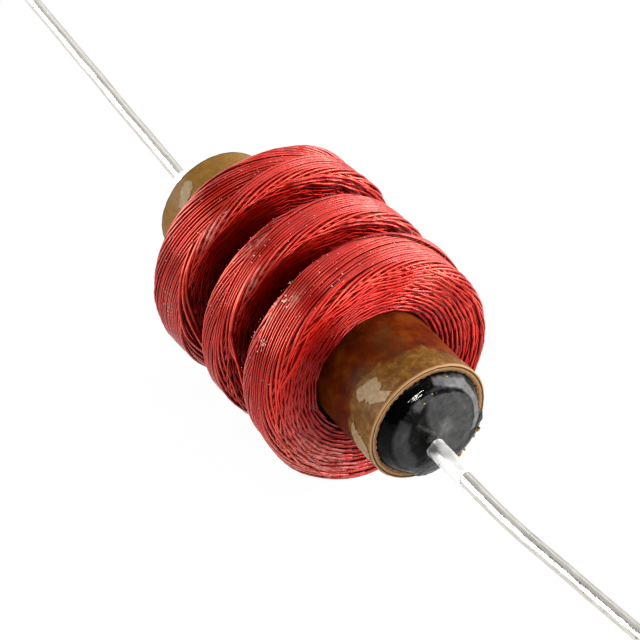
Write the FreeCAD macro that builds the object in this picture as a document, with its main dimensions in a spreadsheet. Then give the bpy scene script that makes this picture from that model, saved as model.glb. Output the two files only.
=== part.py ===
import FreeCAD, Part
import Sketcher
import math
import os

from FreeCAD import Placement, Rotation, Vector

# Axial inductor: three cross-wound coils of enamelled wire on a brown paper tube that holds an
# iron slug, with a resin plug and a tinned lead at each end. Millimetres, +Z up. The tube lies
# along X with its front end towards +X, and the part rests on the rims of its coils. The origin
# lies under the middle of the tube, on the surface that the coils touch.

# Driving sizes: millimetres, degrees where the name says angle, and counts.
SIZES = (
    ("tube_length", 19.5),
    ("tube_radius", 3.175),
    ("tube_wall", 0.4),
    ("plug_depth", 2.75),
    ("plug_clearance", 0.01),
    ("slug_clearance", 0.05),
    ("winding_radius", 6.2),
    ("winding_pitch", 4.15),
    ("outer_winding_width", 2.9),
    ("middle_winding_width", 2.4),
    ("middle_winding_place", 0.15),
    ("winding_foot_inset", 0.35),
    ("winding_corner_radius", 0.6),
    ("winding_bulge_height", 0.2),
    ("winding_clearance", 0.02),
    ("ridge_count", 7),
    ("ridge_depth", 0.16),
    ("shoulder_radius", 2.45),
    ("shoulder_height", 0.55),
    ("shoulder_bevel_width", 0.15),
    ("dome_height", 0.85),
    ("plateau_radius", 1.9),
    ("spill_margin_width", 0.1),
    ("spill_root_width", 0.4),
    ("spill_bevel_width", 0.25),
    ("spill_height", 0.5),
    ("spill_angle", 110.0),
    ("lead_radius", 0.36),
    ("lead_reach_length", 38.0),
    ("lead_gap_length", 0.55),
    ("lead_exit_height", 0.65),
    ("front_lead_side", -0.206),
    ("front_lead_rise", -0.75),
    ("front_start_angle", 0.77),
    ("front_end_angle", 6.22),
    ("front_rise_angle", -1.15),
    ("front_bend_place", 6.05),
    ("front_bend_radius", 36.0),
    ("rear_lead_side", -0.191),
    ("rear_lead_rise", -0.19),
    ("rear_end_angle", 3.55),
    ("rear_bend_place", 2.4),
    ("joint_radius", 0.46),
    ("joint_length", 2.1),
    ("joint_depth", 0.6),
    ("wire_radius", 0.1),
    ("wire_clearance", 0.05),
    ("corner_seat_angle", 50.0),
    ("corner_lap_angle", 24.0),
    ("tail_angle", 302.8),
    ("crossover_front_angle", 152.0),
    ("crossover_rear_angle", 176.0),
)

# Share of the shorter run that an arc at a corner of a wire may take up.
ARC_SHARE = 0.45
# Sides of a thin wire's section, and angle of the plane that a coil's section is drawn in.
WIRE_SIDES = 6
SECTION_ANGLE = 10
# Radius of an outline's corner that lies on the axis.
ON_AXIS = "0"

# Routes of the thin wires. Each point has its share of the way along the tube, its share of the
# height of the coil's corner above the tube, and its angle past the place that the wire starts from.
CROSSOVER_ROUTE = (
    (0.08, 0.97, 14),
    (0.32, 0.88, 23),
    (0.56, 0.71, 33),
    (0.65, 0.48, 43),
    (0.70, 0.26, 55),
    (0.77, 0.12, 69),
    (0.85, 0.08, 87),
    (0.95, 0.07, 106),
)
FINISH_ROUTE = (
    (0.00, 0.87, 10),
    (0.00, 0.49, 0),
    (0.06, 0.00, 0),
)
START_ROUTE = (
    (-0.11, 0.02, 50),
    (-0.04, 0.09, 20),
    (0.14, 0.00, 0),
)

ENDS = {"front": 1, "rear": -1}
# Kind and place of each coil.
WINDINGS = {
    "front": ("outer", "sizes.winding_pitch"),
    "middle": ("middle", "sizes.middle_winding_place"),
    "rear": ("outer", "-sizes.winding_pitch"),
}

doc = FreeCAD.newDocument("axial_inductor")
sheet = doc.addObject("Spreadsheet::Sheet", "sizes")
for row, (alias, number) in enumerate(SIZES, start=1):
    sheet.set(f"A{row}", alias)
    sheet.set(f"B{row}", str(number))
    sheet.setAlias(f"B{row}", alias)
doc.recompute()

nodes = []


def size(alias):
    """Value of one driving size."""
    return float(sheet.get(alias))


def amount(text):
    """Value of an expression of the sheet."""
    result = sheet.evalExpression(text)
    return float(getattr(result, "Value", result))


def name_node(item, label):
    """Make a document object the node that bears this label."""
    item.Label = label
    nodes.append(item)
    return item


def set_on_axis(item, along="0"):
    """Place an object on the tube's axis, which lies one coil radius above the ground."""
    item.setExpression(".Placement.Base.x", along)
    item.setExpression(".Placement.Base.z", "sizes.winding_radius")


def polar(along, radius, angle):
    """Point at a distance along the tube's axis and at a radius and angle (from +Y to +Z) about it."""
    turn = math.radians(angle)
    return Vector(along, radius * math.cos(turn), radius * math.sin(turn))


# Sketches

def origin_plane(body, role):
    """One of a body's own origin planes."""
    return next(item for item in body.Origin.OriginFeatures if item.Role == role)


def new_sketch(body, name, role):
    """Empty sketch on an origin plane of its body."""
    sketch = body.newObject("Sketcher::SketchObject", name)
    sketch.AttachmentSupport = (origin_plane(body, role), "")
    sketch.MapMode = "FlatFace"
    return sketch


def add_circle(sketch, radius_text):
    """Circle about the sketch's origin, its radius bound to the sheet."""
    edge = sketch.addGeometry(Part.Circle(Vector(), Vector(0, 0, 1), amount(radius_text)))
    sketch.addConstraint(Sketcher.Constraint("Coincident", edge, 3, -1, 1))
    radius = sketch.addConstraint(Sketcher.Constraint("Radius", edge, amount(radius_text)))
    sketch.setExpression(f"Constraints[{radius}]", radius_text)


def add_outline(sketch, corners):
    """Closed outline through corners (along, radius), each bound to the sheet."""
    points = [Vector(amount(along), amount(radius), 0) for along, radius in corners]
    for start, end in zip(points, points[1:] + points[:1]):
        sketch.addGeometry(Part.LineSegment(start, end))
    for edge in range(len(points)):
        following = (edge + 1) % len(points)
        sketch.addConstraint(Sketcher.Constraint("Coincident", edge, 2, following, 1))
    for edge, (along, radius) in enumerate(corners):
        if radius == ON_AXIS:
            sketch.addConstraint(Sketcher.Constraint("PointOnObject", edge, 1, -1))
            places = (("DistanceX", along),)
        else:
            places = (("DistanceX", along), ("DistanceY", radius))
        for kind, text in places:
            where = sketch.addConstraint(Sketcher.Constraint(kind, -1, 1, edge, 1, amount(text)))
            sketch.setExpression(f"Constraints[{where}]", text)


def revolve_outline(body, name, corners, angle_text=None):
    """Solid of revolution about the body's X axis from one outline."""
    sketch = new_sketch(body, name + "_outline", "XZ_Plane")
    add_outline(sketch, corners)
    turned = body.newObject("PartDesign::Revolution", name)
    turned.Profile = sketch
    turned.ReferenceAxis = (sketch, ["H_Axis"])
    if angle_text is None:
        turned.Angle = 360.0
    else:
        turned.setExpression("Angle", angle_text)
        turned.Midplane = True
    return turned


# Wires and leads

def tangent_route(points, widest):
    """Wire of straight runs joined by tangent arcs, as wide as the runs have room for."""
    edges = []
    start = points[0]
    for before, corner, after in zip(points, points[1:], points[2:]):
        into = (corner - before).normalize()
        out = (after - corner).normalize()
        half_turn = into.getAngle(out) / 2
        room = ARC_SHARE * min((corner - before).Length, (after - corner).Length)
        bend = min(room / math.tan(half_turn), widest)
        reach = bend * math.tan(half_turn)
        entry = corner - into * reach
        leave = corner + out * reach
        inward = (out - into).normalize()
        middle = corner + inward * (bend / math.cos(half_turn) - bend)
        edges.append(Part.LineSegment(start, entry).toShape())
        edges.append(Part.Arc(entry, middle, leave).toShape())
        start = leave
    edges.append(Part.LineSegment(start, points[-1]).toShape())
    return Part.Wire(edges)


def bent_wire(label, section, points, widest):
    """Section swept through points given from the tube's axis, with sharp bends if none is given."""
    path = doc.addObject("Part::Feature", label + "_route")
    path.Shape = tangent_route(points, widest) if widest else Part.makePolygon(points)
    section.Placement = Placement(points[0], Rotation(Vector(0, 0, 1), points[1] - points[0]))
    wire = doc.addObject("Part::Sweep", label)
    wire.Sections = [section]
    wire.Spine = (path, [f"Edge{number + 1}" for number in range(len(path.Shape.Edges))])
    wire.Transition = "Transformed" if widest else "Right corner"
    wire.Solid = True
    set_on_axis(wire)
    return name_node(wire, label)


def thin_wire(label, points):
    """Coil wire along a route: a many-sided section that stands for its round one."""
    section = doc.addObject("Part::RegularPolygon", label + "_section")
    section.Polygon = WIRE_SIDES
    section.setExpression("Circumradius", "sizes.wire_radius")
    return bent_wire(label, section, points, None)


def lean(side_angle, rise_angle):
    """Step along a lead, per millimetre of the tube's axis, for its lean to the side and up."""
    return Vector(1, math.tan(math.radians(side_angle)), math.tan(math.radians(rise_angle)))


def lead_points(end):
    """Route of a lead: from inside its plug, straight through the solder, a slight bend, and the tip."""
    exit_side = size(end + "_lead_side")
    exit_rise = size(end + "_lead_rise")
    leave = Vector(size("tube_length") / 2 + size("lead_exit_height"), exit_side, exit_rise)
    inside = size("lead_exit_height") + size("plug_depth") - size("lead_gap_length")
    outside = size("lead_reach_length") - size("lead_exit_height") - size(end + "_bend_place")
    if end == "front":
        start = lean(size("front_start_angle"), size("front_rise_angle"))
        last = lean(size("front_end_angle"), size("front_rise_angle"))
    else:
        start = lean(0, 0)
        last = lean(size("rear_end_angle"), 0)
    bend = leave + start * size(end + "_bend_place")
    points = [leave - start * inside, bend, bend + last * outside]
    return [Vector(point.x * ENDS[end], point.y, point.z) for point in points]


def make_lead(end):
    """Tinned lead of one end; the rear one turns too little to need an arc."""
    section = doc.addObject("Part::Circle", f"lead_{end}_section")
    section.setExpression("Radius", "sizes.lead_radius")
    widest = size("front_bend_radius") if end == "front" else None
    return bent_wire("lead_" + end, section, lead_points(end), widest)


def coil_faces(name):
    """Places along the tube of the rear and front faces of a coil."""
    kind, place = WINDINGS[name]
    half = size(kind + "_winding_width") / 2
    return amount(place) - half, amount(place) + half


def corner_seat(coil_face):
    """Place (along, radius) where a wire rests against the rounded corner of a coil."""
    corner = size("winding_corner_radius")
    reach = corner + size("wire_radius") + size("wire_clearance")
    tilt = math.radians(size("corner_seat_angle"))
    along = coil_face - corner + reach * math.sin(tilt)
    return along, size("winding_radius") - corner + reach * math.cos(tilt)


def follow(route, begin, way, angle):
    """Points of a thin wire's route along a way that begins beside a coil."""
    on_tube = size("tube_radius") + size("wire_radius") + size("wire_clearance")
    climb = corner_seat(0)[1] - on_tube
    return [polar(begin + across * way, on_tube + up * climb, angle + turn) for across, up, turn in route]


def make_tail(end):
    """Wire from a coil along the hidden side of the tube, over its rim and in to the solder."""
    half = size("tube_length") / 2
    angle = size("tail_angle")
    stand = size("wire_radius") + size("wire_clearance")
    coil_face = coil_faces("front")[1]
    clear_of_coil = coil_face + size("winding_bulge_height") + stand
    past_rim = half + stand
    over_rim = polar(past_rim, size("tube_radius") + stand, angle)
    if end == "front":
        label = "finish_wire"
        points = [polar(*corner_seat(coil_face), angle + size("corner_lap_angle"))]
        points += follow(FINISH_ROUTE, clear_of_coil, past_rim - clear_of_coil, angle)
    else:
        label = "start_wire"
        points = follow(START_ROUTE, clear_of_coil, past_rim - clear_of_coil, angle)
    inner, outer = lead_points(end)[:2]
    lead = inner + (outer - inner) * ((past_rim - abs(inner.x)) / abs(outer.x - inner.x))
    inward = Vector(0, lead.y - over_rim.y, lead.z - over_rim.z).normalize()
    touch = Vector(past_rim, lead.y, lead.z) - inward * (size("joint_radius") + size("wire_clearance"))
    points += [over_rim, touch]
    return thin_wire(label, [Vector(point.x * ENDS[end], point.y, point.z) for point in points])


def make_crossover(gap, coil, next_coil):
    """Wire from the rim of one coil, across the gap and down to the foot of the next coil."""
    coil_face = coil_faces(coil)[1]
    gap_width = coil_faces(next_coil)[0] - coil_face
    angle = size(f"crossover_{gap}_angle")
    points = [polar(*corner_seat(coil_face), angle)]
    points += follow(CROSSOVER_ROUTE, coil_face, gap_width, angle)
    return thin_wire("crossover_" + gap, points)


# Core

def make_tube():
    """Resin-soaked paper tube that carries the coils."""
    body = doc.addObject("PartDesign::Body", "core_tube")
    sketch = new_sketch(body, "tube_ring", "YZ_Plane")
    add_circle(sketch, "sizes.tube_radius")
    add_circle(sketch, "sizes.tube_radius - sizes.tube_wall")
    pad = body.newObject("PartDesign::Pad", "tube_length_of_ring")
    pad.Profile = sketch
    pad.SideType = "Symmetric"
    pad.setExpression("Length", "sizes.tube_length")
    set_on_axis(body)
    return name_node(body, "core_tube")


def make_slug():
    """Iron slug inside the tube, as long as the plugs leave room for."""
    slug = doc.addObject("Part::Cylinder", "core_slug")
    slug.setExpression("Radius", "sizes.tube_radius - sizes.tube_wall - sizes.slug_clearance")
    slug.setExpression("Height", "sizes.tube_length - 2 * sizes.plug_depth")
    slug.Placement = Placement(Vector(), Rotation(Vector(0, 0, 1), Vector(1, 0, 0)))
    set_on_axis(slug, "sizes.plug_depth - sizes.tube_length / 2")
    return name_node(slug, "core_slug")


# Coils

def coil_outline(kind):
    """Points round a coil's section from foot to foot: ridges for the turns along bulged faces."""
    half = size(kind + "_winding_width") / 2
    inset = size("winding_foot_inset")
    foot = size("tube_radius") + size("winding_clearance")
    crest = size("winding_radius")
    corner = size("winding_corner_radius")
    bulge = size("winding_bulge_height") - inset / 2
    slant = corner * (1 - math.sqrt(0.5))
    middle = (foot + crest - corner) / 2
    path = [
        Part.Arc(
            Vector(-half + inset, 0, foot),
            Vector(-half - bulge, 0, middle),
            Vector(-half, 0, crest - corner),
        ),
        Part.Arc(
            Vector(-half, 0, crest - corner),
            Vector(-half + slant, 0, crest - slant),
            Vector(-half + corner, 0, crest),
        ),
        Part.LineSegment(Vector(-half + corner, 0, crest), Vector(half - corner, 0, crest)),
        Part.Arc(
            Vector(half - corner, 0, crest),
            Vector(half - slant, 0, crest - slant),
            Vector(half, 0, crest - corner),
        ),
        Part.Arc(
            Vector(half, 0, crest - corner),
            Vector(half + bulge, 0, middle),
            Vector(half - inset, 0, foot),
        ),
    ]
    ridges = int(round(size("ridge_count")))
    smooth = Part.Wire([piece.toShape() for piece in path]).discretize(Number=2 * ridges + 1)
    outline = list(smooth)
    for valley in range(1, len(smooth) - 1, 2):
        along = (smooth[valley + 1] - smooth[valley - 1]).normalize()
        inward = Vector(along.z, 0, -along.x)
        outline[valley] = smooth[valley] + inward * size("ridge_depth")
    return outline


def make_winding(name):
    """One coil: its ridged section turned about the tube."""
    kind, place = WINDINGS[name]
    coil = doc.addObject("Part::Feature", "winding_" + name)
    outline = coil_outline(kind)
    section = Part.Face(Part.makePolygon(outline + outline[:1]))
    section.rotate(Vector(), Vector(1, 0, 0), SECTION_ANGLE - 90)
    coil.Shape = section.revolve(Vector(), Vector(1, 0, 0), 360)
    set_on_axis(coil, place)
    return name_node(coil, "winding_" + name)


# Ends

def joint_barrel(end, name, radius_alias):
    """Cylinder along a lead, as long as its solder."""
    inner, outer = lead_points(end)[:2]
    along = (outer - inner).normalize()
    inside = size("plug_depth") - size("lead_gap_length") + size("lead_exit_height") - size("joint_depth")
    barrel = doc.addObject("Part::Cylinder", name)
    barrel.setExpression("Radius", "sizes." + radius_alias)
    barrel.setExpression("Height", "sizes.joint_length + sizes.joint_depth")
    base = inner + along * (inside / abs(along.x)) + Vector(0, 0, size("winding_radius"))
    barrel.Placement = Placement(base, Rotation(Vector(0, 0, 1), along))
    return barrel


def make_joint(end):
    """Solder that holds the wire to a lead: a sleeve round it, half sunk in the plug."""
    solder = joint_barrel(end, f"joint_{end}_solder", "joint_radius")
    joint = doc.addObject("Part::Cut", "lead_joint_" + end)
    joint.Base = solder
    joint.Tool = joint_barrel(end, f"joint_{end}_bore", "lead_radius")
    name_node(joint, "lead_joint_" + end)
    return solder


def make_plug(end, lead, solder, tail):
    """Resin plug: fills the tube down to the slug, domes out of it and spills over its rim on one side."""
    face = ENDS[end]
    body = doc.addObject("PartDesign::Body", f"plug_{end}_resin")
    bore = "sizes.tube_radius - sizes.tube_wall - sizes.plug_clearance"
    corners = [
        ("-sizes.plug_depth", ON_AXIS),
        ("-sizes.plug_depth", bore),
        ("sizes.plug_clearance", bore),
        ("sizes.shoulder_height - sizes.shoulder_bevel_width", "sizes.shoulder_radius"),
        ("sizes.shoulder_height", "sizes.shoulder_radius - sizes.shoulder_bevel_width"),
        ("sizes.dome_height", "sizes.plateau_radius"),
        ("sizes.dome_height", ON_AXIS),
    ]
    revolve_outline(body, "dome", corners)
    root = "sizes.shoulder_radius - sizes.spill_root_width"
    edge = "sizes.tube_radius - sizes.spill_margin_width"
    spill = [
        ("sizes.plug_clearance", root),
        ("sizes.plug_clearance", edge),
        ("sizes.spill_height - sizes.spill_bevel_width", edge),
        ("sizes.spill_height", edge + " - sizes.spill_bevel_width"),
        ("sizes.spill_height", root),
    ]
    revolve_outline(body, "spill", spill, "sizes.spill_angle")
    down = polar(0, 1, size("tail_angle"))
    ahead = Vector(face, 0, 0)
    body.Placement = Placement(Vector(), Rotation(ahead, down.cross(ahead), down))
    set_on_axis(body, f"{face} * sizes.tube_length / 2")
    tools = doc.addObject("Part::MultiFuse", f"plug_{end}_core")
    tools.Shapes = [lead, solder, tail]
    plug = doc.addObject("Part::Cut", "end_plug_" + end)
    plug.Base = body
    plug.Tool = tools
    return name_node(plug, "end_plug_" + end)


def check_and_export():
    """Stop on any failed object; otherwise write one file for each node."""
    doc.recompute()
    for item in doc.Objects:
        if "Invalid" in item.State or "Error" in item.State:
            raise RuntimeError(f"{item.Label}: {item.State}")
    for node in nodes:
        if node.Shape.isNull() or not node.Shape.isValid():
            raise RuntimeError(f"{node.Label}: shape is not valid")
        if len(node.Shape.Solids) != 1:
            raise RuntimeError(f"{node.Label}: {len(node.Shape.Solids)} solids")
    os.makedirs("parts", exist_ok=True)
    for node in nodes:
        node.Shape.exportStep(os.path.join("parts", node.Label + ".step"))
        print(f"{node.Label}: {node.Shape.Volume:.3f} mm3")


make_tube()
make_slug()
for name in WINDINGS:
    make_winding(name)
make_crossover("front", "middle", "front")
make_crossover("rear", "rear", "middle")
for end in ENDS:
    lead = make_lead(end)
    tail = make_tail(end)
    solder = make_joint(end)
    make_plug(end, lead, solder, tail)
check_and_export()
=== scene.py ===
import math

import bmesh
import bpy
import numpy as np
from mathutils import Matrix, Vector


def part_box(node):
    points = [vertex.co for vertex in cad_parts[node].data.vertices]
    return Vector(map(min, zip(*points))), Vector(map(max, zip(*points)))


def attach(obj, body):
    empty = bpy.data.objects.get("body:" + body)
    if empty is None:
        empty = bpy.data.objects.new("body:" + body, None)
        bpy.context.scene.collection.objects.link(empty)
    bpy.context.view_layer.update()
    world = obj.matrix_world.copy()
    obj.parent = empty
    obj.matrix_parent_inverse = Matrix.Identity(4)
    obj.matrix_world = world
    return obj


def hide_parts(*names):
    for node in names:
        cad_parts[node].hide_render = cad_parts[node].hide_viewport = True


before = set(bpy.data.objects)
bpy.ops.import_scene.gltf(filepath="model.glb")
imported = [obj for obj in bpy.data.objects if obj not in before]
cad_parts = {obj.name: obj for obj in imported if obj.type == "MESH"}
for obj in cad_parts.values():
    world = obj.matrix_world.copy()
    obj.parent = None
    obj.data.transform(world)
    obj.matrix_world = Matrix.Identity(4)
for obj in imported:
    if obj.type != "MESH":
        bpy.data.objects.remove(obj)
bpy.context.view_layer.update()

# Axial inductor: looks of the three cross-wound coils, the lacquered paper tube, the resin plugs
# and the tinned leads. Lengths here are millimetres and become metres when a mesh is made. Angles
# about the tube run from +Y to +Z, in degrees.

MM = 0.001


def node_box(node):
    """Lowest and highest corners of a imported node."""
    return [np.round(np.array(corner) / MM, 5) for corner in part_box(node)]


def node_middle(node):
    """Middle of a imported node's box."""
    return np.round(sum(node_box(node)) / 2, 4)


def half_height(node):
    """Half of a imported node's height."""
    low, high = node_box(node)
    return round((high[2] - low[2]) / 2, 4)


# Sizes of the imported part, which rests on the rims of its coils.
TUBE_HALF, TUBE_RADIUS = node_box("core_tube")[1][:2]
TUBE_WALL = 0.4
TUBE_BORE = TUBE_RADIUS - TUBE_WALL
AXIS_HEIGHT = node_middle("core_tube")[2]
COIL_RADIUS = AXIS_HEIGHT
PLUG_DEPTH = TUBE_HALF - node_box("end_plug_front")[0][0]
LEAD_RADIUS = half_height("lead_rear")
JOINT_RADIUS = half_height("lead_joint_rear")
WIRE_RADIUS = 0.1
FOOT_INSET = 0.35

# Angle of the side that the coils' ends run along, which the photograph hides.
HIDDEN_SIDE = 302.8

# Sums of random waves are divided by this, which keeps them between about -1 and 1.
PEAK = 1.6


# Meshes

def unit(vectors):
    """Vectors scaled to length 1."""
    vectors = np.asarray(vectors, float)
    return vectors / np.linalg.norm(vectors, axis=-1, keepdims=True)


def polar(along, radius, angle):
    """Points at places along the tube, radii and angles in degrees about it."""
    along, radius, angle = np.broadcast_arrays(along, radius, np.radians(angle))
    height = AXIS_HEIGHT + radius * np.sin(angle)
    return np.stack([along, radius * np.cos(angle), height], axis=-1).astype(float)


def smooth_step(low, high, value):
    """Share of the way from low to high, eased at both ends."""
    share = np.clip((value - low) / (high - low), 0, 1)
    return share * share * (3 - 2 * share)


def full_turn(count):
    """Angles round a circle, in radians."""
    return 2 * math.pi * np.arange(count) / count


def around(angle, middle):
    """Angles from a middle angle, between -180 and 180 degrees."""
    return (angle - middle + 180) % 360 - 180


def bell(away, width):
    """Smooth hump: 1 in the middle, and about a third at its width."""
    return np.exp(-(away / width) ** 2)


def waves(seed, count, slowest, fastest):
    """Slow random curve of one variable, between about -1 and 1."""
    rng = np.random.default_rng(seed)
    rates = np.exp(rng.uniform(math.log(slowest), math.log(fastest), count))
    phases = rng.uniform(0, 2 * math.pi, count)
    weights = rng.uniform(0.5, 1, count)
    weights /= np.sqrt((weights ** 2).sum() / 2) * PEAK

    def curve(value):
        value = np.asarray(value, float)
        total = np.zeros_like(value)
        for rate, phase, weight in zip(rates, phases, weights):
            total += weight * np.sin(rate * value + phase)
        return total
    return curve


def ripples(seed, count, most_lobes, fastest):
    """Random relief over places along the tube and angles in degrees, between about -1 and 1."""
    rng = np.random.default_rng(seed)
    lobes = rng.integers(0, most_lobes + 1, count)
    rates = rng.uniform(-fastest, fastest, count)
    phases = rng.uniform(0, 2 * math.pi, count)

    def relief(along, angle):
        turn = np.radians(angle)
        total = np.zeros(np.broadcast(along, angle).shape)
        for lobe, rate, phase in zip(lobes, rates, phases):
            total += np.cos(lobe * turn + rate * along + phase)
        return total / math.sqrt(count / 2) / PEAK
    return relief


def add_object(name, data):
    """Object in the scene, from its mesh, lamp or camera."""
    added = bpy.data.objects.new(name, data)
    bpy.context.scene.collection.objects.link(added)
    return added


def new_piece(name, points, faces, materials, sharp=None, marks=None, picks=None):
    """Mesh object from points in millimetres and lists of faces; rides on the part's one body.

    Edges steeper than sharp, in degrees, stay sharp. Marks are values at the points, for the
    materials, and picks are each face's place in the materials."""
    mesh = bpy.data.meshes.new(name)
    mesh.from_pydata((np.asarray(points, float) * MM).tolist(), [], faces)
    for material in materials:
        mesh.materials.append(material)
    if picks is not None:
        mesh.polygons.foreach_set("material_index", np.asarray(picks, np.int32))
    mesh.shade_smooth()
    if sharp is not None:
        mesh.set_sharp_from_angle(angle=math.radians(sharp))
    for label, values in (marks or {}).items():
        layer = mesh.attributes.new(name=label, type="FLOAT", domain="POINT")
        layer.data.foreach_set("value", np.asarray(values, np.float32))
    mesh.update()
    piece = add_object(name, mesh)
    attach(piece, "root")
    return piece


def quads(rows, columns, closed=False):
    """Faces between rows of points that each go round; closed joins the last row to the first."""
    row = np.arange(rows if closed else rows - 1)[:, None] * columns
    below = (row + columns) % (rows * columns)
    place = np.arange(columns)[None]
    beside = (place + 1) % columns
    faces = np.stack([row + place, row + beside, below + beside, below + place], -1)
    return faces.reshape(-1, 4).tolist()


def caps(rows, columns):
    """Faces over the first and the last of the rows."""
    return [list(range(columns))[::-1], list(range((rows - 1) * columns, rows * columns))]


def sweep(line, radii, outward, sides):
    """Points and faces of a round tube along a line, with flat ends."""
    line = np.asarray(line, float)
    along = unit(np.gradient(line, axis=0))
    normal = np.broadcast_to(outward, line.shape)
    normal = unit(normal - (normal * along).sum(1, keepdims=True) * along)
    other = np.cross(along, normal)
    turn = full_turn(sides)
    radii = np.broadcast_to(radii, len(line))
    ring = normal[:, None] * np.cos(turn)[None, :, None] + other[:, None] * np.sin(turn)[None, :, None]
    points = (line[:, None] + ring * radii[:, None, None]).reshape(-1, 3)
    return points, quads(len(line), sides) + caps(len(line), sides)


def turned(origin, ahead, zero, along, radius, closed=True):
    """Points and faces of a surface turned about an axis, from its profile at each angle.

    The profile is a grid of places along the axis and radii: one row for each profile point and one
    column for each angle. With closed set its last row joins its first; otherwise both ends are
    capped."""
    ahead = unit(ahead)
    zero = unit(np.asarray(zero, float) - np.dot(zero, ahead) * ahead)
    side = np.cross(ahead, zero)
    rows, columns = radius.shape
    turn = full_turn(columns)
    spoke = zero * np.cos(turn)[:, None] + side * np.sin(turn)[:, None]
    points = np.asarray(origin, float) + along[..., None] * ahead + radius[..., None] * spoke[None]
    faces = quads(rows, columns, closed)
    if not closed:
        faces += caps(rows, columns)
    return points.reshape(-1, 3), faces


def turned_on_tube(along, radius):
    """Points and faces of a closed surface turned about the tube's axis."""
    return turned((0, 0, AXIS_HEIGHT), (1, 0, 0), (0, 1, 0), along, radius)


def join(parts):
    """One set of points and faces from several."""
    points, faces, start = [], [], 0
    for some_points, some_faces in parts:
        points.append(np.asarray(some_points, float))
        faces += [[corner + start for corner in face] for face in some_faces]
        start += len(some_points)
    return np.concatenate(points), faces


def resample(profile, spacing):
    """Points along a broken line, no further apart than the spacing."""
    profile = np.asarray(profile, float)
    points = [profile[:1]]
    for start, end in zip(profile, profile[1:]):
        steps = max(1, int(math.ceil(np.linalg.norm(end - start) / spacing)))
        share = np.arange(1, steps + 1)[:, None] / steps
        points.append(start + (end - start) * share)
    return np.concatenate(points)


def evenly(profile, shares):
    """Points of a broken line at shares of its length."""
    lengths = np.concatenate([[0], np.cumsum(np.linalg.norm(np.diff(profile, axis=0), axis=1))])
    lengths /= lengths[-1]
    return np.stack([np.interp(shares, lengths, profile[:, column]) for column in (0, 1)], -1)


def through(points, steps):
    """Smooth line through points, with so many steps from each to the next."""
    points = np.asarray(points, float)
    padded = np.vstack([2 * points[0] - points[1], points, 2 * points[-1] - points[-2]])
    share = np.linspace(0, 1, steps, endpoint=False)[:, None]
    line = []
    for before, start, end, after in zip(padded, padded[1:], padded[2:], padded[3:]):
        line.append(0.5 * (
            2 * start
            + (end - before) * share
            + (2 * before - 5 * start + 4 * end - after) * share ** 2
            + (3 * start - before - 3 * end + after) * share ** 3
        ))
    return np.vstack(line + [points[-1:]])


# Materials

class Shade:
    """Node tree of one material, with a short call for each kind of node that it uses."""

    def __init__(self, name):
        self.material = bpy.data.materials.new(name)
        self.material.use_nodes = True
        self.tree = self.material.node_tree
        self.tree.nodes.clear()
        self.output = self.node("ShaderNodeOutputMaterial")
        place = self.node("ShaderNodeTexCoord").outputs["Object"]
        scale = (1 / MM, 1 / MM, 1 / MM)
        self.place = self.node("ShaderNodeMapping", {"Vector": place, "Scale": scale}).outputs[0]

    def node(self, kind, inputs=None, **settings):
        node = self.tree.nodes.new(kind)
        for key, value in settings.items():
            setattr(node, key, value)
        for key, value in (inputs or {}).items():
            self.feed(node.inputs[key], value)
        return node

    def feed(self, socket, value):
        if isinstance(value, bpy.types.NodeSocket):
            self.tree.links.new(value, socket)
        else:
            socket.default_value = value

    def stretched(self, scale):
        return self.node("ShaderNodeMapping", {"Vector": self.place, "Scale": scale}).outputs[0]

    def noise(self, scale, detail=3.0, rough=0.55, where=None):
        node = self.node("ShaderNodeTexNoise", {
            "Vector": where or self.place,
            "Scale": scale,
            "Detail": detail,
            "Roughness": rough,
        })
        return node.outputs[0]

    def mark(self, name):
        return self.node("ShaderNodeAttribute", attribute_name=name).outputs["Fac"]

    def sums(self, kind, first, second=0.0, clamp=False):
        node = self.node("ShaderNodeMath", operation=kind, use_clamp=clamp)
        self.feed(node.inputs[0], first)
        self.feed(node.inputs[1], second)
        return node.outputs[0]

    def times(self, first, second):
        return self.sums("MULTIPLY", first, second)

    def between(self, value, low, high, start=0.0, end=1.0):
        node = self.node("ShaderNodeMapRange", {
            "Value": value,
            "From Min": low,
            "From Max": high,
            "To Min": start,
            "To Max": end,
        })
        return node.outputs[0]

    def ramp(self, value, stops):
        node = self.node("ShaderNodeValToRGB", {"Fac": value})
        band = node.color_ramp
        while len(band.elements) < len(stops):
            band.elements.new(0.5)
        for element, (place, colour) in zip(band.elements, stops):
            element.position = place
            element.color = (*colour, 1)
        return node.outputs[0]

    def blend(self, share, first, second):
        node = self.node("ShaderNodeMix", data_type="RGBA")
        self.feed(node.inputs[0], share)
        for socket, colour in ((node.inputs[6], first), (node.inputs[7], second)):
            self.feed(socket, (*colour, 1) if isinstance(colour, tuple) else colour)
        return node.outputs[2]

    def bump(self, height, depth, normal=None):
        inputs = {"Height": height, "Distance": depth * MM, "Strength": 1.0}
        if normal is not None:
            inputs["Normal"] = normal
        return self.node("ShaderNodeBump", inputs).outputs[0]

    def surface(self, inputs):
        shader = self.node("ShaderNodeBsdfPrincipled", inputs)
        self.feed(self.output.inputs[0], shader.outputs[0])
        return self.material


def axial(shade):
    """Place along the tube in millimetres, at a point of a material."""
    return shade.node("ShaderNodeSeparateXYZ", {"Vector": shade.place}).outputs[0]


# Painted highlight for the strands' crests.
PAINTED_HIGHLIGHT_RED = (0.85, 0.15, 0.085)
# Painted shade for the strands' flanks, the gaps and the tube's shadow.
PAINTED_SHADE_RED = (0.085, 0.0003, 0.0001)
# Dried varnish and dust, and also a painted highlight on the front coil's lower face.
VARNISH_AND_HIGHLIGHT_PINK = (0.68, 0.25, 0.20)


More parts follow.
